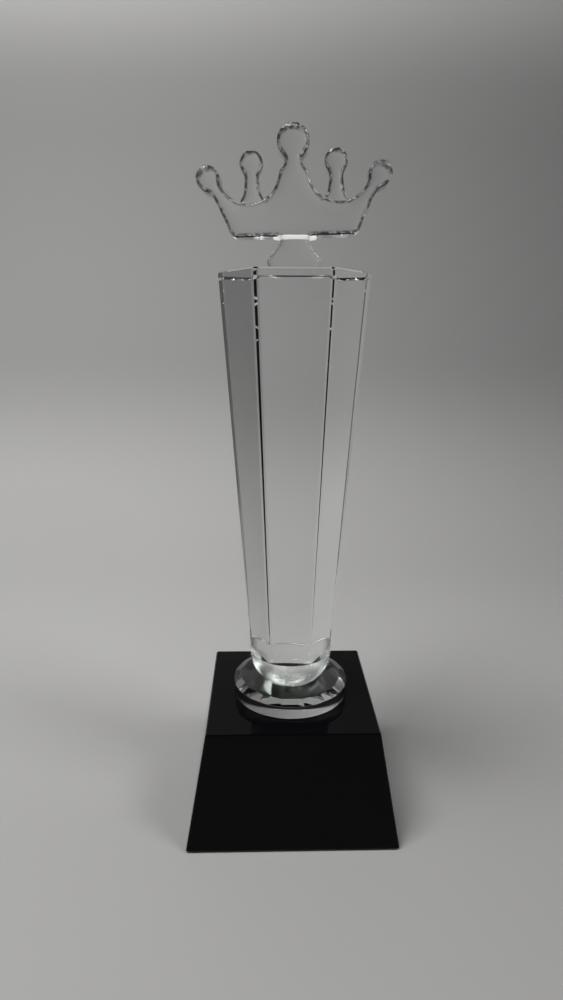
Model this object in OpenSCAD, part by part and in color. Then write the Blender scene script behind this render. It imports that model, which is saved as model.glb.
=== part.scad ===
// Crystal award: a crown casting on a tapered six-sided column,
// which stands on a sixteen-facet disc and a black crystal block.
// Millimetres, +Z up, origin at the centre of the resting face,
// front of the award towards -Y. Clear pieces are bonded with thin resin films.

/* [Base] */

// Side of the square base block at its foot
base_w = 80; // [60:0.5:120]
// Side of the square base block at its top
base_top_w = 65; // [50:0.5:100]
// Height of the base block
base_h = 44; // [20:0.5:80]
// Polished bevel along the block edges
base_bevel = 0.5; // [0.2:0.1:2]
// Side of the soft pad under the block
pad_w = 72; // [40:1:110]
// Thickness of the soft pad
pad_t = 1; // [0.5:0.1:3]
// Corner radius of the soft pad
pad_r = 5; // [1:0.5:15]

/* [Disc] */

// Radius of the disc wall
disc_r = 23; // [16:0.1:30]
// Height of the plain disc wall
disc_wall_h = 5.2; // [3:0.1:12]
// Radius of the flat table inside the bevel facets
disc_table_r = 19.8; // [14:0.1:28]
// Height of the bevel facets
disc_bevel_h = 1.6; // [0.5:0.1:4]

/* [Column] */

// Width across the corners at the column top
col_top_w = 54.4; // [30:0.1:80]
// Width across the corners where the flats end
col_low_w = 32.8; // [20:0.1:60]
// Height of the six flats
col_flat_h = 145; // [80:1:220]
// Width taken off each long edge
col_edge = 0.25; // [0.1:0.05:1]
// Bevel round the top face
col_top_bevel = 0.5; // [0.2:0.1:2]
// Radius of the ball-ground lower end
end_r = 16.3; // [10:0.1:30]
// Height of the ball-ground lower end
end_h = 11.2; // [6:0.1:16]
// Plain rim above the ball-ground zone
end_rim = 0.8; // [0.2:0.1:3]
// Rise of the sloping ledge between the rim and the flats
end_ledge = 0.4; // [0.1:0.1:3]
// Turn of the column and crown against the base
upper_turn = -3; // [-10:0.5:10]

/* [Crown] */

// Height of the crown above its foot
crown_h = 35.2; // [25:0.1:60]
// Depth of the crown from front to back
crown_t = 12; // [8:0.5:20]
// Half width of the crown along its lower edge
crown_low_x = 20.6; // [14:0.1:30]
// Centre of an outer knob from the middle
side_knob_x = 29; // [24:0.1:36]
// Radius of the tall middle knob
mid_knob_r = 5.5; // [3:0.1:8]
// Radius of an outer knob
side_knob_r = 4; // [2.5:0.1:6]
// Radius of a knob in the back row
back_knob_r = 4.05; // [2.5:0.05:5]
// Centre of a back-row knob from the middle
back_knob_x = 14.4; // [11:0.1:18]
// Step that stands for the soft moulded edges
crown_edge = 1.2; // [0.4:0.1:2]
// Lean of the crown on its foot, to the left
crown_lean = 1.7; // [-4:0.1:4]

/* [Foot] */

// Height of the foot under the crown
foot_h = 11.2; // [6:0.1:20]
// Half width of the foot where it meets the column
foot_low_x = 8.7; // [6:0.1:14]
// Half width of the foot at its shoulder
foot_mid_x = 9.6; // [6:0.1:16]
// Half width of the foot at its neck
foot_neck_x = 5; // [3:0.1:8]

/* [Bonds] */

// Thickness of each cured resin film
bond_t = 0.2; // [0.1:0.05:0.5]
// Radius of the film under the disc
base_bond_r = 20; // [8:0.5:22]
// Radius of the film under the column
disc_bond_r = 11.5; // [6:0.1:12.4]
// Size of the film under the foot, across and deep
crown_bond = [16, 10.4];

/* [Hidden] */

eps = 0.01;
round_fn = 96;

base_z = pad_t;
base_bond_z = base_z + base_h;
disc_z = base_bond_z + bond_t;
disc_h = disc_wall_h + disc_bevel_h;
disc_bond_z = disc_z + disc_h;
col_z = disc_bond_z + bond_t;
col_h = end_h + col_flat_h;
crown_bond_z = col_z + col_h;
foot_z = crown_bond_z + bond_t;
crown_z = foot_z + foot_h;

disc_facets = 16;
facet_step = 360 / disc_facets;

// Crown outline heights, measured from the crown's lower edge
mid_knob_z = crown_h - mid_knob_r;
neck_x = 0.52 * mid_knob_r;
neck_z = mid_knob_z - 6;
spire_x = 5.5;
spire_z = 17.8;
side_knob_z = 19.1;
valley_x = 15.3;
valley_z = 21.3;
valley_r = 10.5;
back_knob_z = 24.3;
back_neck_x = 2.3;
back_neck_z = 19;
back_flare_x = 4.6;
back_flare_z = 11.5;

crystal = [0.86, 0.93, 0.92, 0.45];
black_crystal = [0.05, 0.05, 0.06];
resin = [0.9, 0.92, 0.85, 0.6];
foam = [0.12, 0.12, 0.13];

// ---- shared shapes ----

// A bar of symmetric trapezoid section, long enough to cut with.
// Its two sloping faces are the flats of a tapered prism.
// low and top are the half widths, bevel trims the two upper edges.
module wedge_bar(low, top, h, bevel, turn) {
    reach = 4 * max(low, top);
    rotate([0, 0, turn])
        rotate([90, 0, 0])
            translate([0, 0, -reach / 2])
                linear_extrude(height = reach)
                    polygon([
                        [-low, 0],
                        [low, 0],
                        [top, h - bevel],
                        [top - bevel, h],
                        [bevel - top, h],
                        [-top, h - bevel],
                    ]);
}

// ---- base ----

module base_pad() {
    color(foam)
        linear_extrude(height = pad_t)
            union() {
                square([pad_w - 2 * pad_r, pad_w], center = true);
                square([pad_w, pad_w - 2 * pad_r], center = true);
                for (x = [-1, 1], y = [-1, 1])
                    translate([x * (pad_w / 2 - pad_r), y * (pad_w / 2 - pad_r)])
                        circle(r = pad_r, $fn = round_fn);
            }
}

// Four sloping faces, their upright edges bevelled by a third and fourth bar
module base_block() {
    low = base_w / 2;
    top = base_top_w / 2;
    trim = base_bevel * 0.7;
    color(black_crystal)
        translate([0, 0, base_z])
            intersection() {
                wedge_bar(low, top, base_h, base_bevel, 0);
                wedge_bar(low, top, base_h, base_bevel, 90);
                wedge_bar(low * sqrt(2) - trim, top * sqrt(2) - trim, base_h, base_bevel, 45);
                wedge_bar(low * sqrt(2) - trim, top * sqrt(2) - trim, base_h, base_bevel, 135);
            }
}

module base_bond() {
    color(resin)
        translate([0, 0, base_bond_z])
            cylinder(r = base_bond_r, h = bond_t, $fn = round_fn);
}

// ---- disc ----

// Sixteen sloping facets meet the flat table, one facet square to the front
module disc_bevels() {
    run = disc_r - disc_table_r;
    slope = disc_bevel_h / run;
    low = disc_table_r + (disc_h + eps) / slope;
    intersection_for (i = [0 : disc_facets / 2 - 1])
        rotate([0, 0, i * facet_step])
            rotate([90, 0, 0])
                translate([0, 0, -2 * disc_r])
                    linear_extrude(height = 4 * disc_r)
                        polygon([
                            [-low, -eps],
                            [low, -eps],
                            [disc_table_r, disc_h],
                            [-disc_table_r, disc_h],
                        ]);
}

module disc() {
    color(crystal)
        translate([0, 0, disc_z])
            intersection() {
                cylinder(r = disc_r, h = disc_h, $fn = round_fn);
                disc_bevels();
            }
}

module disc_bond() {
    color(resin)
        translate([0, 0, disc_bond_z])
            cylinder(r = disc_bond_r, h = bond_t, $fn = round_fn);
}

// ---- column ----

// Six tapered flats, with a narrow polished strip down each long edge
module column_flats() {
    low_corner = col_low_w / 2;
    top_corner = col_top_w / 2;
    low_flat = low_corner * cos(30);
    top_flat = top_corner * cos(30);
    intersection_for (i = [0 : 2])
        intersection() {
            wedge_bar(low_flat, top_flat, col_flat_h, col_top_bevel, 90 + 60 * i);
            wedge_bar(low_corner - col_edge, top_corner - col_edge, col_flat_h,
                      col_top_bevel, 60 * i);
        }
}

// Round lower end, ground to a ball and cut flat for the bond
module column_end() {
    ball_h = end_h - end_rim;
    rotate_extrude($fn = round_fn)
        intersection() {
            square([end_r, end_h]);
            union() {
                translate([0, ball_h])
                    circle(r = end_r, $fn = round_fn);
                translate([0, ball_h])
                    square([end_r, end_rim]);
            }
        }
}

// Ledge that slopes up from the rim until it runs out on the flats
module column_ledge() {
    drop = end_ledge * 4;
    translate([0, 0, end_h])
        cylinder(r1 = end_r, r2 = end_r - drop, h = end_ledge, $fn = round_fn);
}

module column() {
    color(crystal)
        translate([0, 0, col_z])
            rotate([0, 0, upper_turn]) {
                column_end();
                column_ledge();
                translate([0, 0, end_h])
                    column_flats();
            }
}

// ---- crown ----

module crown_bond() {
    color(resin)
        translate([0, 0, crown_bond_z + bond_t / 2])
            rotate([0, 0, upper_turn])
                cube([crown_bond[0], crown_bond[1], bond_t], center = true);
}

// Lower band of the crown, leaning outwards to the two side knobs
module band_outline() {
    difference() {
        polygon([
            [-crown_low_x, 0],
            [crown_low_x, 0],
            [crown_low_x + 1.8, 1.9],
            [side_knob_x - 2.9, 10.7],
            [side_knob_x + 1.4, 15.4],
            [side_knob_x - 3.4, 21],
            [0, spire_z + 4],
            [3.4 - side_knob_x, 21],
            [-side_knob_x - 1.4, 15.4],
            [2.9 - side_knob_x, 10.7],
            [-crown_low_x - 1.8, 1.9],
        ]);
        for (s = [-1, 1])
            translate([s * valley_x, valley_z])
                circle(r = valley_r, $fn = round_fn);
    }
}

module front_outline() {
    band_outline();
    polygon([
        [-spire_x, spire_z - 3],
        [spire_x, spire_z - 3],
        [spire_x, spire_z],
        [neck_x, neck_z],
        [neck_x, mid_knob_z],
        [-neck_x, mid_knob_z],
        [-neck_x, neck_z],
        [-spire_x, spire_z],
    ]);
    translate([0, mid_knob_z])
        circle(r = mid_knob_r, $fn = round_fn);
    for (s = [-1, 1])
        translate([s * side_knob_x, side_knob_z])
            circle(r = side_knob_r, $fn = round_fn);
}

// Back half: the same points, with two shorter knobs standing between them
module back_outline() {
    front_outline();
    for (s = [-1, 1])
        translate([s * back_knob_x, 0]) {
            polygon([
                [-back_flare_x, 8],
                [back_flare_x, 8],
                [back_flare_x, back_flare_z],
                [back_neck_x, back_neck_z],
                [back_neck_x, back_knob_z],
                [-back_neck_x, back_knob_z],
                [-back_neck_x, back_neck_z],
                [-back_flare_x, back_flare_z],
            ]);
            translate([0, back_knob_z])
                circle(r = back_knob_r, $fn = round_fn);
        }
}

module foot_outline() {
    polygon([
        [-foot_low_x, 0],
        [foot_low_x, 0],
        [foot_mid_x, 0.32 * foot_h],
        [foot_neck_x, 0.82 * foot_h],
        [foot_neck_x, 0.88 * foot_h],
        [foot_neck_x + 1.8, foot_h + eps],
        [-foot_neck_x - 1.8, foot_h + eps],
        [-foot_neck_x, 0.88 * foot_h],
        [-foot_neck_x, 0.82 * foot_h],
        [-foot_mid_x, 0.32 * foot_h],
    ]);
}

// Stands an outline up in the XZ plane between two depths, with a lean
module slab(front_y, back_y, lean) {
    translate([0, back_y, 0])
        rotate([90, 0, 0])
            linear_extrude(height = back_y - front_y)
                rotate([0, 0, lean])
                    children();
}

// One pressed casting: front row, back row and foot
module crown() {
    half = crown_t / 2;
    lap = 0.6;
    color(crystal)
        rotate([0, 0, upper_turn]) {
            translate([0, 0, crown_z]) {
                slab(crown_edge - half, lap, crown_lean)
                    front_outline();
                slab(-half, crown_edge - half + eps, crown_lean)
                    offset(delta = -crown_edge)
                        front_outline();
                slab(-lap, half - crown_edge, crown_lean)
                    back_outline();
                slab(half - crown_edge - eps, half, crown_lean)
                    offset(delta = -crown_edge)
                        back_outline();
            }
            translate([0, 0, foot_z])
                slab(0.6 - half, half - 0.6, 0)
                    foot_outline();
        }
}

base_pad();
base_block();
base_bond();
disc();
disc_bond();
column();
crown_bond();
crown();
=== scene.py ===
# %% [markdown]
# A crystal award: a pressed glass crown on a tapered six-sided column, bonded
# to a faceted disc and a black crystal block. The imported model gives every
# piece its size and place, in metres, with the origin at the centre of the
# resting face, +Z up and the front towards -Y. This script keeps that frame
# and makes each piece look like polished glass, so nothing is moved or scaled.

import math

import bpy
import numpy as np
from mathutils import Matrix, Vector


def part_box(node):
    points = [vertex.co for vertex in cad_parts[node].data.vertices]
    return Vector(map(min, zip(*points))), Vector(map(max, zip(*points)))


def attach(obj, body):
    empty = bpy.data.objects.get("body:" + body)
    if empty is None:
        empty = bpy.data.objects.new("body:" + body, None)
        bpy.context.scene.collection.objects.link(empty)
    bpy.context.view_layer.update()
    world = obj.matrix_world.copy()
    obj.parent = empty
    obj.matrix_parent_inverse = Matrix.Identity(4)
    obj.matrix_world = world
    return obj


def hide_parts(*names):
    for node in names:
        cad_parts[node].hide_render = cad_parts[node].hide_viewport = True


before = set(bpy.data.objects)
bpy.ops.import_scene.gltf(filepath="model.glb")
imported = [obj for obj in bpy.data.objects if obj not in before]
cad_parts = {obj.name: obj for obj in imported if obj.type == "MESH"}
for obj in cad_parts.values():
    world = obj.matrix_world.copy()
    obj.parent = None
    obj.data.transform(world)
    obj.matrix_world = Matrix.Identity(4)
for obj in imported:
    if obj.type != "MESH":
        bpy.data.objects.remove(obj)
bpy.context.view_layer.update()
MM = 0.001
print("nodes:", ", ".join(sorted(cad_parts)))

# %% [markdown]
# The camera is a hand-held one, a little above the middle of the award and
# close to it, looking down about fifteen degrees. A close camera gives the
# base its strong taper, so the distance matters more than the lens. The lens
# is given for a 36 mm long side, and the turn is built from three rotations:
# heading, tilt and a trace of roll.

# %% Camera
CAMERA_PLACE = Vector((-11.2, -245.1, 190.95)) * MM
HEADING, TILT, ROLL = math.radians(-1.67), math.radians(-14.92), math.radians(-0.38)

lens = bpy.data.cameras.new("camera")
lens.sensor_width = 36.0
lens.lens = 23.83
lens.clip_start, lens.clip_end = 0.01, 50.0
camera = bpy.data.objects.new("camera", lens)
bpy.context.scene.collection.objects.link(camera)
camera.matrix_world = (
    Matrix.Translation(CAMERA_PLACE)
    @ Matrix.Rotation(HEADING, 4, "Z")
    @ Matrix.Rotation(math.pi / 2 + TILT, 4, "X")
    @ Matrix.Rotation(-ROLL, 4, "Z")
)
bpy.context.scene.camera = camera
print("camera at", [round(v, 3) for v in CAMERA_PLACE], "metres")

# %% [markdown]
# Every new piece is a grid of points: rows are closed rings that run up the
# piece, columns run round it. One helper turns such a grid into a mesh and
# closes both ends with a flat face, because glass only bends light properly
# when its skin is shut. Faces that meet at more than a given angle keep a
# crisp edge, and the rest are shaded as one smooth surface.


# %% Mesh helpers
def make_piece(name, points, faces, crisp_deg):
    """Points and faces become an object on the root body.

    Edges that bend more than crisp_deg stay crisp, the rest are smooth.
    """
    mesh = bpy.data.meshes.new(name)
    mesh.from_pydata(np.asarray(points, float).tolist(), [], faces)
    mesh.update()
    mesh.shade_smooth()
    mesh.set_sharp_from_angle(angle=math.radians(crisp_deg))
    piece = bpy.data.objects.new(name, mesh)
    bpy.context.scene.collection.objects.link(piece)
    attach(piece, "root")
    return piece


def ring_faces(rows, columns):
    """Quads between neighbouring rings, closed round the ring, and one flat face at each end."""
    i, j = np.meshgrid(np.arange(rows - 1), np.arange(columns), indexing="ij")
    k = (j + 1) % columns
    quads = np.stack(
        [i * columns + j, i * columns + k, (i + 1) * columns + k, (i + 1) * columns + j], -1
    )
    ends = [list(range(columns))[::-1], list(range((rows - 1) * columns, rows * columns))]
    return quads.reshape(-1, 4).tolist() + ends


print("helpers: make_piece and ring_faces")


# %% [markdown]
# The column is a six-sided taper, wider at the top, whose lower end is ground
# to a ball. Each flat keeps a hairline polished strip where it meets the next,
# and those strips catch most of the light. A plain six-sided prism would miss
# the strips, the bevel round the top and the little crescent ledges where the
# flats run out. So each ring is either six straight runs or a circle, with the
# same number of points in both, and the rings are stacked from foot to top.
# The ball could be a true sphere, but the real one is a little flatter near
# its foot, so a smooth curve is drawn through a few radii. The column and the
# crown were bonded on three degrees out of true, and both are turned by that.

# %% Column
COLUMN_LOW, COLUMN_TOP = (v.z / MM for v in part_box("column"))
UPPER_TURN = math.radians(-3.0)
FLATS_START = COLUMN_LOW + 11.2
TOP_CORNER, LOW_CORNER = 27.2, 16.4
EDGE_STRIP = 0.25
BALL_RADIUS = 16.3
LEDGE_SLOPE = 0.12
LEDGE_LOW, LEDGE_RISE = 0.35, 0.12
FOOT_HEIGHTS = np.array([0.3, 2.3, 4.8, 7.8, 10.0, 11.3])
FOOT_RADII = np.array([11.3, 13.35, 14.9, 15.95, 16.22, 16.3])
FOOT_ROWS = 40
RUN = 24
TOP_BEVEL_HEIGHT, TOP_BEVEL_INSET = 0.5, 0.6


def turned(points, turn=UPPER_TURN):
    """Points turned about the upright axis, as the column and crown are on their base."""
    c, s = math.cos(turn), math.sin(turn)
    x, y, z = np.moveaxis(np.asarray(points, float), -1, 0)
    return np.stack([c * x - s * y, s * x + c * y, z], -1)


def six_sided_ring(corner, height, strip=EDGE_STRIP):
    """Six straight runs, one to a flat.

    Each point is the apothem along the flat's normal plus an even walk along
    the flat, cut short of the corners by the strip.
    """
    heading = np.radians(-90 + 60 * np.arange(6))[:, None]
    walk = np.linspace(-1, 1, RUN)[None, :] * (corner / 2 - 2 * strip)
    apothem = corner * math.cos(math.pi / 6)
    x = apothem * np.cos(heading) - walk * np.sin(heading)
    y = apothem * np.sin(heading) + walk * np.cos(heading)
    return np.stack([x, y, np.full_like(x, height)], -1).reshape(-1, 3)


def round_ring(radius, height):
    """A circle whose points are shared out over the six flats, in line with the six-sided rings."""
    walk = np.linspace(-1, 1, RUN) * (LOW_CORNER / 2 - 2 * EDGE_STRIP)
    off = np.arctan2(walk, LOW_CORNER * math.cos(math.pi / 6))
    turn = (off[None, :] + np.radians(-90 + 60 * np.arange(6))[:, None]).reshape(-1)
    return np.stack(
        [radius * np.cos(turn), radius * np.sin(turn), np.full_like(turn, height)], -1
    )


def ledge_ring():
    """Where the ledge meets the flats.

    The ledge is a shallow cone: it rises by its slope for each millimetre in
    from the ball's radius, and the flat grows with height by the taper.
    """
    ring = six_sided_ring(LOW_CORNER - 0.1, FLATS_START + LEDGE_LOW)
    radius = np.hypot(ring[:, 0], ring[:, 1])
    rise = np.maximum((BALL_RADIUS - radius) * LEDGE_SLOPE, 0) + LEDGE_RISE
    grow = 1 + rise * (TOP_CORNER / LOW_CORNER - 1) / (COLUMN_TOP - FLATS_START)
    return np.stack([ring[:, 0] * grow, ring[:, 1] * grow, ring[:, 2] + rise], -1)


def column_rings():
    """Foot face and its small bevel, the ball, the rim, the ledge, the taper and the top bevel.

    The ball's radius is a fourth-degree polynomial of height through FOOT_RADII.
    """
    rings = [
        round_ring(FOOT_RADII[0] - 0.4, COLUMN_LOW + 0.02),
        round_ring(FOOT_RADII[0] - 0.08, COLUMN_LOW + 0.14),
    ]
    curve = np.polynomial.Polynomial.fit(FOOT_HEIGHTS, FOOT_RADII, 4)
    for height in np.linspace(FOOT_HEIGHTS[0], FOOT_HEIGHTS[-1], FOOT_ROWS):
        rings.append(round_ring(float(curve(height)), COLUMN_LOW + height))
    rings += [
        round_ring(BALL_RADIUS - 0.02, FLATS_START + 0.4),
        ledge_ring(),
        six_sided_ring(TOP_CORNER - 0.04, COLUMN_TOP - TOP_BEVEL_HEIGHT),
        six_sided_ring(TOP_CORNER - TOP_BEVEL_INSET, COLUMN_TOP),
    ]
    return turned(np.array(rings))


rings = column_rings()
column = make_piece(
    "column_crystal",
    rings.reshape(-1, 3) * MM,
    ring_faces(rings.shape[0], rings.shape[1]),
    12,
)
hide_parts("column")
print("column:", rings.shape[0], "rings of", rings.shape[1], "points")

# %% [markdown]
# The disc under the column is cut like a watch glass: a round wall, then
# sixteen flat facets that slope up to a flat table. Where a flat facet meets
# the round wall the edge dips and rises by a fifth of a millimetre. Turning a
# profile would lose both the facets and that wavy edge, so each ring here is
# worked out from the facet's own plane. The last ring is a little way in on
# the table, so that the table is one flat face with nothing to shade.

# %% Disc
DISC_LOW, DISC_TOP = (v.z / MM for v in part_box("disc"))
DISC_RADIUS, TABLE_RADIUS, BEVEL_HEIGHT = 23.0, 19.8, 1.6
FACETS, FACET_RUN = 16, 12
INNER_TABLE = 0.98


def disc_rings():
    """Foot, wall and facets, from the foot up.

    The wall's top follows each facet's plane: its height falls by the slope
    for each millimetre that radius times the cosine of the angle off the
    facet's middle lies outside the table. The table has sixteen sides.
    """
    step = 2 * math.pi / FACETS
    off = (np.arange(FACET_RUN) / FACET_RUN - 0.5)[None, :] * step
    turn = (np.arange(FACETS)[:, None] * step - math.pi / 2 + off).reshape(-1)
    off = np.broadcast_to(off, (FACETS, FACET_RUN)).reshape(-1)
    slope = BEVEL_HEIGHT / (DISC_RADIUS - TABLE_RADIUS)

    def at(radius, height):
        radius = np.broadcast_to(radius, turn.shape)
        height = np.broadcast_to(height, turn.shape)
        return np.stack([radius * np.cos(turn), radius * np.sin(turn), height], -1)

    wavy_edge = DISC_TOP - (DISC_RADIUS * np.cos(off) - TABLE_RADIUS) * slope
    return np.array(
        [
            at(DISC_RADIUS - 0.3, DISC_LOW + 0.02),
            at(DISC_RADIUS, DISC_LOW + 0.25),
            at(DISC_RADIUS, wavy_edge),
            at(TABLE_RADIUS / np.cos(off), DISC_TOP),
            at(TABLE_RADIUS * INNER_TABLE / np.cos(off), DISC_TOP),
        ]
    )


rings = disc_rings()
disc = make_piece(
    "disc_crystal",
    rings.reshape(-1, 3) * MM,
    ring_faces(rings.shape[0], rings.shape[1]),
    6,
)
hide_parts("disc")
print("disc:", rings.shape[0], "rings of", rings.shape[1], "points")

# %% [markdown]
# The crown is pressed glass, so it has no sharp edge anywhere: its outline is
# soft, its faces swell a little and its rows melt into each other. It could be
# a bevelled extrusion, but bevels tear at the narrow necks. Instead its shape
# is a distance field, a number at each point of a fine lattice that says how
# far the glass surface is. Fields can be rounded and blended by plain sums,
# and the skin is then drawn through the points where the number is zero. The
# crown also leans a little to one side on its foot, as it was bonded.

# %% Crown outlines
CROWN_BOX = [np.array(v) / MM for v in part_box("crown")]
CROWN_FOOT = CROWN_BOX[0][2]
FOOT_HEIGHT = 11.2
CROWN_Z = CROWN_FOOT + FOOT_HEIGHT
CROWN_HEIGHT = CROWN_BOX[1][2] - CROWN_Z
CROWN_LEAN = math.radians(1.7)
LATTICE = 0.36
BIG_KNOB, OUTER_KNOB, BACK_KNOB = 5.5, 4.0, 4.05


def distance_to_outline(x, z, corners):
    """Signed distance to a closed outline.

    It is the least distance to any side, and negative where a level line from
    the point crosses an odd number of sides.
    """
    a = np.asarray(corners, float)
    b = np.roll(a, -1, axis=0)
    best = np.full(x.shape, 1e9)
    inside = np.zeros(x.shape, bool)
    for (ax, az), (bx, bz) in zip(a, b):
        ex, ez = bx - ax, bz - az
        t = np.clip(((x - ax) * ex + (z - az) * ez) / (ex * ex + ez * ez), 0, 1)
        best = np.minimum(best, np.hypot(x - ax - t * ex, z - az - t * ez))
        if bz != az:
            crossing = (az > z) != (bz > z)
            inside ^= crossing & (x < (bx - ax) * (z - az) / (bz - az) + ax)
    return np.where(inside, -best, best)


def blend(a, b, width):
    """The lesser of two distances, rounded over where they are within width of each other."""
    h = np.clip(0.5 + 0.5 * (b - a) / width, 0, 1)
    return b + (a - b) * h - width * h * (1 - h)


def disc_field(x, z, cx, cz, radius):
    """Distance to a circle: how far the point is from its centre, less the radius."""
    return np.hypot(x - cx, z - cz) - radius


def band_field(x, z):
    """The lower band with its two leaning arms, the valleys cut out of it by circles."""
    right = [
        (20.4, 0.0), (21.9, 1.1), (22.9, 3.6), (26.0, 10.4),
        (28.0, 13.9), (30.6, 15.6), (29.0, 19.1), (25.4, 20.2), (0.0, 21.5),
    ]
    left = [(-px, pz) for px, pz in right[::-1] if px > 0]
    band = distance_to_outline(x, z, right + left)
    valley = disc_field(np.abs(x), z, 15.3, 21.3, 10.5)
    return -blend(-band, valley, 1.0)


def front_field(x, z):
    """Front row: band, tall spire with its knob, and the two outer knobs."""
    x = np.abs(x)
    outline = [
        (-6, 12), (6.6, 12), (5.6, 16.2), (4.7, 18.6), (2.85, 23.6), (2.85, 27), (-6, 27),
    ]
    spire = distance_to_outline(x, z, outline)
    knob = disc_field(x, z, 0, CROWN_HEIGHT - BIG_KNOB, BIG_KNOB)
    outer = disc_field(x, z, 29.0, 19.1, OUTER_KNOB)
    row = blend(band_field(x, z), spire, 1.2)
    return blend(blend(row, knob, 1.4), outer, 1.6)


def back_field(x, z):
    """Back row: two shorter knobs on flared necks that run down into the band."""
    x = np.abs(x)
    outline = [
        (9.0, 6), (20.0, 6), (19.0, 11.5), (17.3, 14.5), (16.75, 19),
        (16.75, 24), (12.05, 24), (12.05, 19), (11.5, 14.8), (9.8, 12.4),
    ]
    neck = distance_to_outline(x, z, outline)
    knob = disc_field(x, z, 14.4, 24.15, BACK_KNOB)
    return blend(neck, knob, 1.4)


def foot_field(x, z):
    """Foot under the crown: short upright edge, sloping shoulder, narrow neck.

    Heights run down from the crown's lower edge.
    """
    outline = [
        (-9, -12.0), (8.55, -12.0), (8.8, -10.8), (9.4, -9.0), (9.6, -7.8), (9.1, -6.9),
        (7.7, -5.4), (6.3, -3.8), (5.3, -2.2), (4.9, -1.0), (5.2, 1.0), (-9, 1.0),
    ]
    return distance_to_outline(np.abs(x), z, outline)


print("crown:", round(CROWN_HEIGHT, 1), "mm tall above a foot of", FOOT_HEIGHT, "mm")


# %% [markdown]
# Each outline gets its depth by rounding: the distance in the outline's plane
# and the distance through the thickness are joined round a quarter circle,
# which gives the soft, fire-polished edge. The faces are thinned a little
# towards the outline, so that they swell like a cushion, as pressed glass
# does when it shrinks in the mould. Then the two rows and the foot are
# blended, so their joints become small hollow fillets. The big body and the
# outer knobs go through the full depth, the two small knobs only part of it.


# %% Crown field
SOFTENING = 4
DOME_REACH = 4.5
FRONT_DEPTH, BACK_DEPTH, FOOT_DEPTH = (-5.9, 5.9), (-1.4, 5.9), (-5.5, 5.5)


def soften(field, passes):
    """Averages a field with its neighbours, which rounds the corners of an outline."""
    for _ in range(passes):
        p = np.pad(field, 1, mode="edge")
        field = (
            4 * field + p[:-2, 1:-1] + p[2:, 1:-1] + p[1:-1, :-2] + p[1:-1, 2:]
        ) / 8
    return field


def swell(flat, y, reach, edge, dome):
    """A slab between the two depths of reach.

    It is thinned by dome times the square of how near the outline is, and its
    edges are rounded: the distances across and through, each taken from one
    radius inside, are joined as the two sides of a right angle.
    """
    low, high = reach
    into = np.clip(-flat / DOME_REACH, 0, 1)
    half = (high - low) / 2 - dome * (1 - into) ** 2
    across = flat + edge
    through = np.abs(y - (low + high) / 2) - half + edge
    outer = np.hypot(np.maximum(across, 0), np.maximum(through, 0))
    inner = np.minimum(np.maximum(across, through), 0)
    return outer + inner - edge


def crown_field():
    """The whole crown on a lattice: x across, y through, z up.

    All in millimetres, with heights from the crown's lower edge.
    """
    pad = 2.5 * LATTICE
    x = np.arange(0, 34.5 + pad, LATTICE)
    x = np.concatenate([-x[:0:-1], x])
    y = np.arange(-6 - pad, 6 + pad, LATTICE)
    z = np.arange(-FOOT_HEIGHT - pad, CROWN_HEIGHT + pad, LATTICE)
    gx, gz = np.meshgrid(x, z, indexing="ij")
    c, s = math.cos(CROWN_LEAN), math.sin(CROWN_LEAN)
    lx, lz = c * gx + s * gz, c * gz - s * gx
    outlines = (front_field(lx, lz), back_field(lx, lz), foot_field(gx, gz))
    flat = [soften(outline, SOFTENING)[:, None, :] for outline in outlines]
    depth = y[None, :, None]
    front = swell(flat[0], depth, FRONT_DEPTH, edge=1.7, dome=0.45)
    back = swell(flat[1], depth, BACK_DEPTH, edge=1.6, dome=0.35)
    foot = swell(flat[2], depth, FOOT_DEPTH, edge=1.8, dome=0.3)
    whole = blend(blend(front, back, 0.5), foot, 1.6)
    floor = -(gz[:, None, :] + FOOT_HEIGHT - 0.02)
    return np.maximum(whole, floor + 0 * depth), (x, y, z)


field, lattice = crown_field()
print("crown lattice:", field.shape, "of", LATTICE, "mm")
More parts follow.
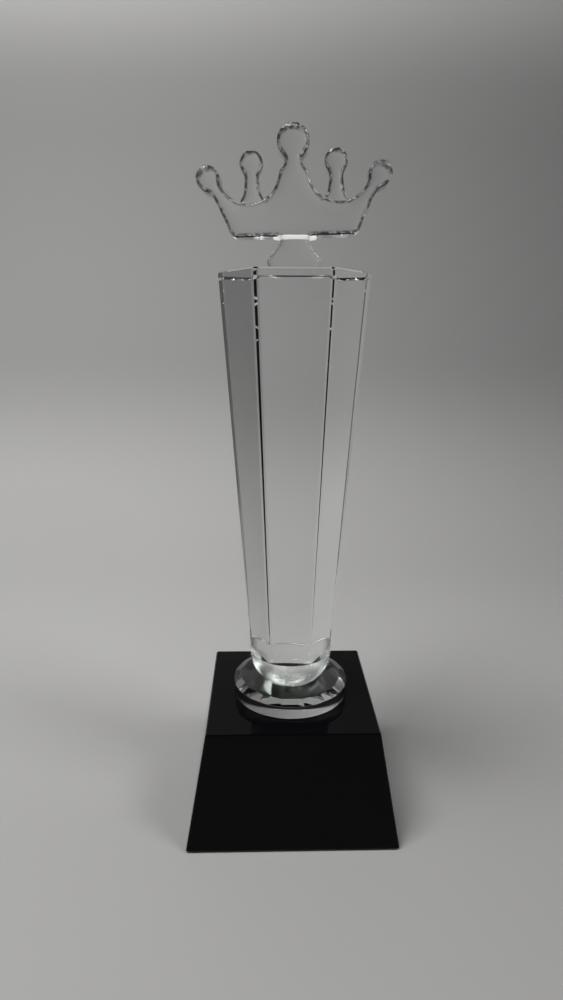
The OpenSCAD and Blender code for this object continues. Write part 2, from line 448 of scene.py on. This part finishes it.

# %% [markdown]
# Drawing the skin: every lattice cell that the surface passes through gets one
# point, at the mean of the places where the cell's edges are crossed. Cells
# that share a crossed edge are then joined by a quad. All of it is done with
# whole arrays. A few rounds of smoothing take out the lattice's stair-steps.
# Two masks go with the skin, worked out from how far each point faces away
# from the front or the back: "rim" is where the polish ripples, and the
# second is where the edges get painted shade, a near-black base colour that
# stands in for the dark outline the rounded edges show.


# %% Skin of a field
def field_skin(field, axes):
    """One point per crossed cell and one quad per crossed edge, both found with array comparisons."""
    shape = np.array(field.shape)
    total = np.zeros((*(shape - 1), 3))
    count = np.zeros(shape - 1)
    corner = [(slice(0, -1), slice(1, None))] * 3
    edges = []
    for axis in range(3):
        low = [slice(None)] * 3
        high = [slice(None)] * 3
        low[axis], high[axis] = slice(0, -1), slice(1, None)
        a, b = field[tuple(low)], field[tuple(high)]
        crossed = (a < 0) != (b < 0)
        where = np.zeros_like(a)
        where[crossed] = a[crossed] / (a[crossed] - b[crossed])
        edges.append((crossed, a < 0))
        u, v = [k for k in range(3) if k != axis]
        for du in (0, 1):
            for dv in (0, 1):
                pick = [slice(None)] * 3
                pick[u] = corner[u][du]
                pick[v] = corner[v][dv]
                c = crossed[tuple(pick)]
                w = where[tuple(pick)]
                total[..., axis] += np.where(c, w, 0)
                total[..., u] += np.where(c, du, 0)
                total[..., v] += np.where(c, dv, 0)
                count += c
    used = count > 0
    index = np.full(used.shape, -1)
    index[used] = np.arange(used.sum())
    cell = np.argwhere(used)
    inside = total[used] / count[used][:, None]
    step = np.array([a[1] - a[0] for a in axes])
    start = np.array([a[0] for a in axes])
    points = start + (cell + inside) * step
    quads = []
    for axis in range(3):
        crossed, negative = edges[axis]
        u, v = [(1, 2), (2, 0), (0, 1)][axis]
        at = np.argwhere(crossed)
        at = at[(at[:, u] > 0) & (at[:, v] > 0)]
        flip = negative[tuple(at.T)]
        eu, ev = np.eye(3, dtype=int)[u], np.eye(3, dtype=int)[v]
        around = [at - eu - ev, at - ev, at, at - eu]
        quad = np.stack([index[tuple(p.T)] for p in around], -1)
        quad[~flip] = quad[~flip][:, ::-1]
        quads.append(quad)
    return points, np.concatenate(quads)


def relax(points, quads, rounds, keep):
    """Moves each point towards the mean of its neighbours, then part of the way back.

    The step back, by keep, holds the shape's size while the bumps go.
    """
    sides = ([0, 1], [1, 2], [2, 3], [3, 0])
    pairs = np.concatenate([quads[:, side] for side in sides])
    pairs = np.unique(np.sort(pairs, axis=1), axis=0)
    a, b = pairs.T
    number = np.bincount(np.concatenate([a, b]), minlength=len(points))[:, None]

    def pull(p):
        total = np.stack(
            [
                np.bincount(a, p[b, k], len(p)) + np.bincount(b, p[a, k], len(p))
                for k in range(3)
            ],
            -1,
        )
        return total / number - p

    for _ in range(rounds):
        points = points + 0.5 * pull(points)
        points = points - keep * pull(points)
    return points


points, quads = field_skin(field, lattice)
points = relax(points, quads, rounds=8, keep=0.52)
points = turned(points)
points[:, 2] += CROWN_Z
points = np.clip(points, CROWN_BOX[0] + 0.01, CROWN_BOX[1] - 0.01)
crown = make_piece("crown_crystal", points * MM, quads.tolist(), 180)
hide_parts("crown")
normals = np.empty(len(points) * 3)
crown.data.vertices.foreach_get("normal", normals)
face_on = np.abs(turned(normals.reshape(-1, 3), -UPPER_TURN)[:, 1])
off_face = np.clip((0.97 - face_on) / 0.30, 0, 1)
# Painted shade: the second mask darkens the crown's edges in their base colour, less on the side
# walls and less again on the foot.
side_wall = 0.6 + 0.4 * np.clip((face_on - 0.22) / 0.2, 0, 1)
painted_rim_shade = np.clip((0.955 - face_on) / 0.10, 0, 1) * side_wall
above_foot = np.clip((points[:, 2] - CROWN_Z + 1.0) / 1.5, 0, 1)
crown.data.attributes.new("rim", "FLOAT", "POINT").data.foreach_set("value", off_face)
crown.data.attributes.new("painted_rim_shade", "FLOAT", "POINT").data.foreach_set(
    "value", painted_rim_shade * (0.35 + 0.65 * above_foot)
)
print("crown:", len(points), "points,", len(quads), "quads")

# %% [markdown]
# The bonds are hairline films of clear resin. They are kept a hair smaller
# and thinner than the gap, so that glass never touches glass exactly: the
# thin air layer beside them is what makes the ends of real bonded pieces
# shine white at low angles. The crown has one more layer, a whitish seam that
# glows inside the glass where its body meets its foot: a painted highlight
# for the bright glint along that joint. It has no piece of its own in the
# imported model, and simply lies inside the crown.


# %% Bond films
SEAM_LOW, SEAM_HIGH, SEAM_BULGE = CROWN_Z - 0.55, CROWN_Z + 0.45, 0.25


def film_rings(outline, low, high, swell_out=0.06):
    """Four rings: lower face, two that bulge a little, upper face."""
    middle = (low + high) / 2
    length = np.hypot(outline[:, 0], outline[:, 1])[:, None]
    rows = []
    levels = ((0, low), (swell_out, middle - 0.02), (swell_out, middle + 0.02), (0, high))
    for grow, height in levels:
        ring = outline * (1 + grow / length)
        rows.append(np.column_stack([ring, np.full(len(ring), height)]))
    return np.array(rows)


def circle_outline(radius, count=96):
    """Points evenly spaced round a circle."""
    turn = np.linspace(0, 2 * math.pi, count, endpoint=False)
    return np.stack([radius * np.cos(turn), radius * np.sin(turn)], -1)


def pad_outline(width, depth, corner, count=24):
    """A rectangle with round corners: each corner's centre plus a quarter turn round it."""
    parts = []
    for k, (sx, sy) in enumerate(((1, 1), (-1, 1), (-1, -1), (1, -1))):
        turn = np.linspace(0, math.pi / 2, count) + k * math.pi / 2
        x = sx * (width / 2 - corner) + corner * np.cos(turn)
        y = sy * (depth / 2 - corner) + corner * np.sin(turn)
        parts.append(np.stack([x, y], -1))
    return np.concatenate(parts)


def make_film(node, outline, trim):
    """A film in a bond's place, trimmed by trim above and below so that it touches no glass."""
    low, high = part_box(node)
    rings = film_rings(outline, low.z / MM + trim, high.z / MM - trim)
    points, faces = rings.reshape(-1, 3) * MM, ring_faces(*rings.shape[:2])
    film = make_piece(node + "_film", points, faces, 30)
    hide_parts(node)
    return film


base_film = make_film("base_bond", circle_outline(19.8), trim=0.02)
disc_film = make_film("disc_bond", circle_outline(11.2), trim=0.03)
crown_foot_pad = np.insert(pad_outline(15.6, 10.0, 2.0), 2, 0, axis=1)
crown_film = make_film("crown_bond", turned(crown_foot_pad)[:, :2], trim=0.03)
# Painted highlight: this glowing layer stands in for the glint where the crown's body meets its foot.
seam_rings = film_rings(pad_outline(14.6, 7.6, 3.2), SEAM_LOW, SEAM_HIGH, SEAM_BULGE)
seam_points = turned(seam_rings).reshape(-1, 3) * MM
seam = make_piece("crown_seam_glint", seam_points, ring_faces(*seam_rings.shape[:2]), 30)
print("films:", base_film.name, disc_film.name, crown_film.name, seam.name)

# %% [markdown]
# Effects that more than one finish uses are shader groups, built once and
# placed in each material with its own values. There are three: marks left by
# handling, fine upright lines left by the grinding wheel on the ball end and
# the disc's wall, and the faint waves of hand polishing. Each puts out a plain
# value, and the material decides whether it drives roughness, height or tint.


# %% Material helpers
def new_material(name):
    """A material with its node tree and its Principled shader."""
    material = bpy.data.materials.new(name)
    material.use_nodes = True
    tree = material.node_tree
    shader = tree.nodes["Principled BSDF"]
    return material, tree, shader


def add_node(tree, kind, **settings):
    """A node of one kind, with its settings."""
    node = tree.nodes.new(kind)
    for key, value in settings.items():
        setattr(node, key, value)
    return node


def slow_change(tree, source, start, end, low, high):
    """A smooth step from low to high as one coordinate goes from start to end."""
    ramp = add_node(tree, "ShaderNodeMapRange", interpolation_type="SMOOTHSTEP")
    ramp.inputs["From Min"].default_value = start
    ramp.inputs["From Max"].default_value = end
    ramp.inputs["To Min"].default_value = low
    ramp.inputs["To Max"].default_value = high
    tree.links.new(source, ramp.inputs["Value"])
    return ramp.outputs["Result"]


def times(tree, a, b):
    """One varying value times another."""
    node = add_node(tree, "ShaderNodeMath", operation="MULTIPLY")
    tree.links.new(a, node.inputs[0])
    tree.links.new(b, node.inputs[1])
    return node.outputs["Value"]


def wear_group():
    """Faint dust and wiping marks: a broad noise that runs from a clean roughness to a marked one."""
    group = bpy.data.node_groups.new("handling_marks", "ShaderNodeTree")
    group.interface.new_socket("Size", in_out="INPUT", socket_type="NodeSocketFloat")
    group.interface.new_socket("Clean", in_out="INPUT", socket_type="NodeSocketFloat")
    group.interface.new_socket("Marked", in_out="INPUT", socket_type="NodeSocketFloat")
    group.interface.new_socket("Roughness", in_out="OUTPUT", socket_type="NodeSocketFloat")
    inputs = group.nodes.new("NodeGroupInput")
    outputs = group.nodes.new("NodeGroupOutput")
    place = group.nodes.new("ShaderNodeTexCoord")
    broad = add_node(group, "ShaderNodeTexNoise")
    broad.inputs["Detail"].default_value = 3.0
    group.links.new(place.outputs["Object"], broad.inputs["Vector"])
    group.links.new(inputs.outputs["Size"], broad.inputs["Scale"])
    ramp = add_node(group, "ShaderNodeMapRange")
    ramp.inputs["From Min"].default_value = 0.52
    ramp.inputs["From Max"].default_value = 0.72
    group.links.new(broad.outputs["Fac"], ramp.inputs["Value"])
    group.links.new(inputs.outputs["Clean"], ramp.inputs["To Min"])
    group.links.new(inputs.outputs["Marked"], ramp.inputs["To Max"])
    group.links.new(ramp.outputs["Result"], outputs.inputs["Roughness"])
    return group


HANDLING = wear_group()


def wheel_line_group():
    """Fine upright lines left by the grinding wheel.

    They are noise along the angle round the axis, shown between two heights.
    """
    group = bpy.data.node_groups.new("wheel_lines", "ShaderNodeTree")
    for name in ("Lines", "Low", "High"):
        group.interface.new_socket(name, in_out="INPUT", socket_type="NodeSocketFloat")
    group.interface.new_socket("Height", in_out="OUTPUT", socket_type="NodeSocketFloat")
    inputs = group.nodes.new("NodeGroupInput")
    outputs = group.nodes.new("NodeGroupOutput")
    place = group.nodes.new("ShaderNodeTexCoord")
    split = group.nodes.new("ShaderNodeSeparateXYZ")
    group.links.new(place.outputs["Object"], split.inputs["Vector"])
    angle = add_node(group, "ShaderNodeMath", operation="ARCTAN2")
    group.links.new(split.outputs["X"], angle.inputs[0])
    group.links.new(split.outputs["Y"], angle.inputs[1])
    lines = add_node(group, "ShaderNodeTexNoise", noise_dimensions="1D")
    lines.inputs["Detail"].default_value = 2.0
    group.links.new(angle.outputs["Value"], lines.inputs["W"])
    group.links.new(inputs.outputs["Lines"], lines.inputs["Scale"])
    gates = []
    for name, operation in (("Low", "GREATER_THAN"), ("High", "LESS_THAN")):
        gate = add_node(group, "ShaderNodeMath", operation=operation)
        group.links.new(split.outputs["Z"], gate.inputs[0])
        group.links.new(inputs.outputs[name], gate.inputs[1])
        gates.append(gate.outputs["Value"])
    both = add_node(group, "ShaderNodeMath", operation="MULTIPLY")
    group.links.new(gates[0], both.inputs[0])
    group.links.new(gates[1], both.inputs[1])
    shown = add_node(group, "ShaderNodeMath", operation="MULTIPLY")
    group.links.new(lines.outputs["Fac"], shown.inputs[0])
    group.links.new(both.outputs["Value"], shown.inputs[1])
    group.links.new(shown.outputs["Value"], outputs.inputs["Height"])
    return group


WHEEL_LINES = wheel_line_group()


def ripple_group():
    """The faint waves of hand polishing: a three-dimensional noise with Waves waves to a metre."""
    group = bpy.data.node_groups.new("polish_ripple", "ShaderNodeTree")
    group.interface.new_socket("Waves", in_out="INPUT", socket_type="NodeSocketFloat")
    group.interface.new_socket("Height", in_out="OUTPUT", socket_type="NodeSocketFloat")
    inputs = group.nodes.new("NodeGroupInput")
    outputs = group.nodes.new("NodeGroupOutput")
    place = group.nodes.new("ShaderNodeTexCoord")
    noise = add_node(group, "ShaderNodeTexNoise")
    noise.inputs["Detail"].default_value = 1.0
    group.links.new(place.outputs["Object"], noise.inputs["Vector"])
    group.links.new(inputs.outputs["Waves"], noise.inputs["Scale"])
    group.links.new(noise.outputs["Fac"], outputs.inputs["Height"])
    return group


RIPPLE = ripple_group()


def add_ripple(material, waves, depth, mask_name):
    """Feeds the ripple into a Bump node, depth in metres, where the piece's own mask is white."""
    tree = material.node_tree
    group = add_node(tree, "ShaderNodeGroup", node_tree=RIPPLE)
    group.inputs["Waves"].default_value = waves
    mask = add_node(tree, "ShaderNodeAttribute", attribute_name=mask_name)
    bump = add_node(tree, "ShaderNodeBump")
    bump.inputs["Distance"].default_value = depth
    masked = times(tree, group.outputs["Height"], mask.outputs["Fac"])
    tree.links.new(masked, bump.inputs["Height"])
    tree.links.new(bump.outputs["Normal"], tree.nodes["Principled BSDF"].inputs["Normal"])


def add_painted_edge_shade(material, mask_name, waves, painted_shade):
    """Base colour runs from clear to the given dark colour where the piece's own mask is white,
    broken by noise: painted shade on the edges.
    """
    tree = material.node_tree
    mask = add_node(tree, "ShaderNodeAttribute", attribute_name=mask_name)
    group = add_node(tree, "ShaderNodeGroup", node_tree=RIPPLE)
    group.inputs["Waves"].default_value = waves
    broken = slow_change(tree, group.outputs["Height"], 0.36, 0.56, 0.35, 1.0)
    amount = times(tree, mask.outputs["Fac"], broken)
    mix = add_node(tree, "ShaderNodeMix", data_type="RGBA")
    mix.inputs["A"].default_value = (1.0, 1.0, 1.0, 1.0)
    mix.inputs["B"].default_value = (*painted_shade, 1.0)
    tree.links.new(amount, mix.inputs["Factor"])
    tree.links.new(mix.outputs["Result"], tree.nodes["Principled BSDF"].inputs["Base Color"])


def add_wheel_lines(material, lines, low, high, depth):
    """Feeds the lines into a Bump node, with depth in metres."""
    tree = material.node_tree
    group = add_node(tree, "ShaderNodeGroup", node_tree=WHEEL_LINES)
    group.inputs["Lines"].default_value = lines
    group.inputs["Low"].default_value = low
    group.inputs["High"].default_value = high
    bump = add_node(tree, "ShaderNodeBump")
    bump.inputs["Distance"].default_value = depth
    tree.links.new(group.outputs["Height"], bump.inputs["Height"])
    tree.links.new(bump.outputs["Normal"], tree.nodes["Principled BSDF"].inputs["Normal"])


def marked_roughness(tree, shader, size, clean, marked):
    """Links the handling marks to a shader's roughness."""
    marks = add_node(tree, "ShaderNodeGroup", node_tree=HANDLING)
    marks.inputs["Size"].default_value = size
    marks.inputs["Clean"].default_value = clean
    marks.inputs["Marked"].default_value = marked
    tree.links.new(marks.outputs["Roughness"], shader.inputs["Roughness"])


print("shader groups:", HANDLING.name, WHEEL_LINES.name, RIPPLE.name)

# %% [markdown]
# Clear crystal is a Principled shader with full transmission and a faint
# grey-green absorption, so that thick glass is a little darker than thin. A
# tinted surface would be simpler, but it would be as dark at a thin edge as
# through the whole column. The crown's edges are the exception: they are
# rounded in the mould and touched up by hand, so they get a ripple, and a
# broken near-black tint in their base colour, painted shade that stands in
# for the dark room seen in them; together these give their dark and bright
# outline.


# %% Clear crystal
WHEEL_DEPTH_COLUMN, WHEEL_DEPTH_DISC = 0.00012, 0.00004
RIPPLE_DEPTH = 0.0005
LEAD_GREEN = (0.80, 0.88, 0.84)


def clear_crystal(name, tint, density, clean=0.0, marked=0.012):
    """Full transmission, absorption by distance through the glass, and faint handling marks."""
    material, tree, shader = new_material(name)
    shader.inputs["Base Color"].default_value = (1.0, 1.0, 1.0, 1.0)
    shader.inputs["Transmission Weight"].default_value = 1.0
    shader.inputs["IOR"].default_value = 1.516
    absorb = add_node(tree, "ShaderNodeVolumeAbsorption")
    absorb.inputs["Color"].default_value = (*tint, 1.0)
    absorb.inputs["Density"].default_value = density
    tree.links.new(absorb.outputs["Volume"], tree.nodes["Material Output"].inputs["Volume"])
    marked_roughness(tree, shader, 60.0, clean, marked)
    return material


column_glass = clear_crystal("column_crystal", (0.80, 0.87, 0.83), 6.0)
ball_low, ball_high = (COLUMN_LOW + 0.3) * MM, (FLATS_START - 0.2) * MM
add_wheel_lines(column_glass, 20.0, ball_low, ball_high, WHEEL_DEPTH_COLUMN)
disc_glass = clear_crystal("disc_crystal", LEAD_GREEN, 6.0)
wall_low, wall_high = (DISC_LOW + 0.3) * MM, (DISC_TOP - 1.7) * MM
add_wheel_lines(disc_glass, 70.0, wall_low, wall_high, WHEEL_DEPTH_DISC)
crown_glass = clear_crystal("crown_crystal", (0.82, 0.88, 0.86), 6.0)
add_ripple(crown_glass, 800.0, RIPPLE_DEPTH, "rim")
# Painted shade: the crown's edges get a near-black base colour for their dark outline.
add_painted_edge_shade(crown_glass, "painted_rim_shade", 620.0, (0.02, 0.03, 0.024))
column.data.materials.append(column_glass)
disc.data.materials.append(disc_glass)
crown.data.materials.append(crown_glass)
print("clear crystal:", column_glass.name, disc_glass.name, crown_glass.name)

# %% [markdown]
# The other finishes. Two films are clear resin. The film under the disc is
# black, because the block it wets is black and nothing shines back from it.
# The seam is a whitish layer that gives off a little light of its own: a
# painted highlight for the bright glint along the crown's joint, since the
# renderer doesn't carry light through glass to a matt layer. The block is
# polished but very dark, with a weak shine so that its sides stay black in a
# pale room. The foam pad only needs to be matt, with a fine grain.

# %% Resin, black crystal and foam
resin, tree, shader = new_material("bond_resin")
shader.inputs["Base Color"].default_value = (0.97, 0.98, 0.95, 1.0)
shader.inputs["Transmission Weight"].default_value = 1.0
shader.inputs["IOR"].default_value = 1.5
shader.inputs["Roughness"].default_value = 0.02
for film in (disc_film, crown_film):
    film.data.materials.append(resin)

wetted, tree, shader = new_material("bond_on_black")
shader.inputs["Base Color"].default_value = (0.002, 0.002, 0.002, 1.0)
shader.inputs["Specular IOR Level"].default_value = 0.0
shader.inputs["Roughness"].default_value = 0.4
base_film.data.materials.append(wetted)

# Painted highlight: the seam glows to stand in for the glint at the crown's joint.
seam_glint_glow, tree, shader = new_material("seam_painted_glint")
shader.inputs["Base Color"].default_value = (0.93, 0.95, 0.93, 1.0)
shader.inputs["Roughness"].default_value = 0.5
shader.inputs["Emission Color"].default_value = (0.96, 1.0, 0.97, 1.0)
shader.inputs["Emission Strength"].default_value = 0.55
seam.data.materials.append(seam_glint_glow)

black, tree, shader = new_material("black_crystal")
shader.inputs["Base Color"].default_value = (0.0025, 0.0023, 0.003, 1.0)
shader.inputs["IOR"].default_value = 1.5
shader.inputs["Specular IOR Level"].default_value = 0.085
marked_roughness(tree, shader, 45.0, 0.015, 0.05)
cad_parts["base_block"].material_slots[0].material = black

foam, tree, shader = new_material("foam_pad")
shader.inputs["Base Color"].default_value = (0.02, 0.02, 0.022, 1.0)
shader.inputs["Roughness"].default_value = 0.9
grain = add_node(tree, "ShaderNodeTexNoise")
grain.inputs["Scale"].default_value = 2500.0
place = add_node(tree, "ShaderNodeTexCoord")
tree.links.new(place.outputs["Object"], grain.inputs["Vector"])
bump = add_node(tree, "ShaderNodeBump")
bump.inputs["Distance"].default_value = 0.0002
tree.links.new(grain.outputs["Fac"], bump.inputs["Height"])
tree.links.new(bump.outputs["Normal"], shader.inputs["Normal"])
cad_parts["base_pad"].material_slots[0].material = foam
print("materials:", len(bpy.data.materials))

# %% [markdown]
# The stage is one sheet of pale grey board: flat under the award, curving up
# into a wall behind it. Glass shows its surroundings more than itself, so the
# sheet's colour carries only slow changes, and they are painted light and
# shade: a little lighter just behind the award and at the very top of the
# wall, and darker up the wall, to the right, and far out in front, where a
# room is always dimmer than the table. A hard edge to the sheet would show as
# a line in the glass and from the side, so the board fades out sideways and
# in front, and the room takes over.


# %% Stage
CURVE_START, CURVE_RADIUS, WALL_TOP = 0.24, 0.42, 0.66


def stage_sheet():
    """Floor, quarter-round curve and wall as one profile, carried sideways along X.

    Half its width is 0.95 m, plus 2 m times the square of how low it lies.
    """
    curve = np.linspace(0, math.pi / 2, 33)
    curve_y = CURVE_START + CURVE_RADIUS * np.sin(curve)
    curve_z = CURVE_RADIUS - CURVE_RADIUS * np.cos(curve)
    y = np.concatenate([[-3.0, -1.0], curve_y, [CURVE_START + CURVE_RADIUS]])
    z = np.concatenate([[0.0, 0.0], curve_z, [WALL_TOP]])
    half = 0.95 + 2.0 * np.clip(1 - z / 0.30, 0, 1) ** 2
    sides = [np.stack([-half, half], -1), np.stack([y, y], -1), np.stack([z, z], -1)]
    points = np.stack(sides, -1)
    faces = [(2 * i, 2 * i + 1, 2 * i + 3, 2 * i + 2) for i in range(len(y) - 1)]
    mesh = bpy.data.meshes.new("stage")
    mesh.from_pydata(points.reshape(-1, 3).tolist(), [], faces)
    mesh.shade_smooth()
    sheet = bpy.data.objects.new("stage", mesh)
    bpy.context.scene.collection.objects.link(sheet)
    return sheet


stage = stage_sheet()
board, tree, shader = new_material("stage_board")
place = add_node(tree, "ShaderNodeTexCoord")
split = add_node(tree, "ShaderNodeSeparateXYZ")
tree.links.new(place.outputs["Object"], split.inputs["Vector"])
# Painted light and shade: the board's colour is lightened and darkened by place, standing in for how
# the lamps fall on it.
up_wall = slow_change(tree, split.outputs["Z"], 0.0, 0.16, 0.84, 0.55)
top_band = slow_change(tree, split.outputs["Z"], 0.46, 0.62, 0.94, 1.55)
to_right = slow_change(tree, split.outputs["X"], -0.30, 0.6, 1.10, 0.58)
in_front = slow_change(tree, split.outputs["Y"], -0.6, -0.14, 0.30, 1.0)
behind = slow_change(tree, split.outputs["Y"], -0.04, 0.12, 1.0, 1.22)
along = times(tree, in_front, behind)
board_painted_light = times(tree, times(tree, up_wall, top_band), times(tree, to_right, along))
grey = add_node(tree, "ShaderNodeMix", data_type="RGBA")
grey.inputs["A"].default_value = (0.0, 0.0, 0.0, 1.0)
grey.inputs["B"].default_value = (0.50, 0.495, 0.49, 1.0)
tree.links.new(board_painted_light, grey.inputs["Factor"])
tree.links.new(grey.outputs["Result"], shader.inputs["Base Color"])
shader.inputs["Roughness"].default_value = 0.65
shader.inputs["Specular IOR Level"].default_value = 0.2

out_front = slow_change(tree, split.outputs["Y"], -1.0, -0.35, 0.0, 1.0)
aside = add_node(tree, "ShaderNodeMath", operation="ABSOLUTE")
tree.links.new(split.outputs["X"], aside.inputs[0])
out_aside = slow_change(tree, aside.outputs["Value"], 0.52, 0.94, 1.0, 0.0)
seen = times(tree, out_front, out_aside)
clear = add_node(tree, "ShaderNodeBsdfTransparent")
fade = add_node(tree, "ShaderNodeMixShader")
tree.links.new(seen, fade.inputs["Fac"])
tree.links.new(clear.outputs["BSDF"], fade.inputs[1])
tree.links.new(shader.outputs["BSDF"], fade.inputs[2])
tree.links.new(fade.outputs["Shader"], tree.nodes["Material Output"].inputs["Surface"])
stage.data.materials.append(board)
print("stage:", len(stage.data.polygons), "faces")

# %% [markdown]
# Two soft lamps from above, a strong one to the left and a weak one to the
# right, give the pale floor its even light and the block its faint shadow.
# Small strips low at the left and in front are there for the glass alone: it
# is their image that runs down the facets as a bright line.


# %% Lights
def soft_light(name, place, target, width, height, power):
    """A flat lamp that faces a target."""
    lamp = bpy.data.lights.new(name, "AREA")
    lamp.shape = "RECTANGLE"
    lamp.size, lamp.size_y = width, height
    lamp.energy = power
    lamp_object = bpy.data.objects.new(name, lamp)
    bpy.context.scene.collection.objects.link(lamp_object)
    lamp_object.location = place
    aim = Vector(target) - Vector(place)
    lamp_object.rotation_mode = "QUATERNION"
    lamp_object.rotation_quaternion = aim.to_track_quat("-Z", "Y")
    return lamp_object


MIDDLE = 0.12


def around(heading_deg, rise_deg, distance):
    """A place seen from the middle of the award.

    Heading is measured from the back towards the right, rise from the level.
    """
    heading, rise = math.radians(heading_deg), math.radians(rise_deg)
    flat = distance * math.cos(rise)
    height = MIDDLE + distance * math.sin(rise)
    return (flat * math.sin(heading), flat * math.cos(heading), height)


soft_light("key_light", (-0.45, -0.25, 1.25), (0, 0.05, 0.0), 0.55, 0.55, 13.2)
soft_light("fill_light", (0.7, -0.35, 1.1), (0, 0.1, 0.1), 0.35, 0.35, 4.6)
soft_light("left_strip", around(-130, 9, 1.2), (0, 0, MIDDLE), 0.26, 0.22, 0.9)
soft_light("front_strip", around(152, 19, 1.2), (0, 0, 0.22), 0.22, 0.07, 0.25)

# %% [markdown]
# The room beyond the sheet is a plain tone that changes slowly with direction.
# Clear glass needs something dark to one side, or its edges vanish, so the
# room is dim on the right and overhead, brighter on the left, and a middle
# grey low in front. An even grey room would be simpler, but in it the crown
# looks like clear plastic, with no dark in its outline.


# %% Room
world = bpy.data.worlds.new("room")
world.use_nodes = True
scene = bpy.context.scene
scene.world = world
tree = world.node_tree
way = add_node(tree, "ShaderNodeTexCoord")


def lobe(tone_in, heading_deg, rise_deg, inner_deg, outer_deg, level):
    """Blends a tone towards a level within inner_deg of one direction, fading out at outer_deg."""
    heading, rise = math.radians(heading_deg), math.radians(rise_deg)
    flat = math.cos(rise)
    axis = (flat * math.sin(heading), flat * math.cos(heading), math.sin(rise))
    dot = add_node(tree, "ShaderNodeVectorMath", operation="DOT_PRODUCT")
    dot.inputs[1].default_value = axis
    tree.links.new(way.outputs["Generated"], dot.inputs[0])
    outer, inner = math.cos(math.radians(outer_deg)), math.cos(math.radians(inner_deg))
    near = slow_change(tree, dot.outputs["Value"], outer, inner, 0.0, 1.0)
    mix = add_node(tree, "ShaderNodeMix", data_type="FLOAT")
    mix.inputs["B"].default_value = level
    if isinstance(tone_in, float):
        mix.inputs["A"].default_value = tone_in
    else:
        tree.links.new(tone_in, mix.inputs["A"])
    tree.links.new(near, mix.inputs["Factor"])
    return mix.outputs["Result"]


room_tone = lobe(0.10, 180, -20, 30, 80, 0.17)
room_tone = lobe(room_tone, -60, 2, 20, 60, 0.34)
room_tone = lobe(room_tone, 0, 90, 48, 74, 0.02)
room_tone = lobe(room_tone, 68, 2, 8, 30, 0.03)
tree.links.new(room_tone, tree.nodes["Background"].inputs["Color"])
scene.view_settings.view_transform = "Standard"
scene.cycles.max_bounces = 24
scene.cycles.transmission_bounces = 24
scene.cycles.glossy_bounces = 8
print("room:", len(tree.nodes), "nodes")
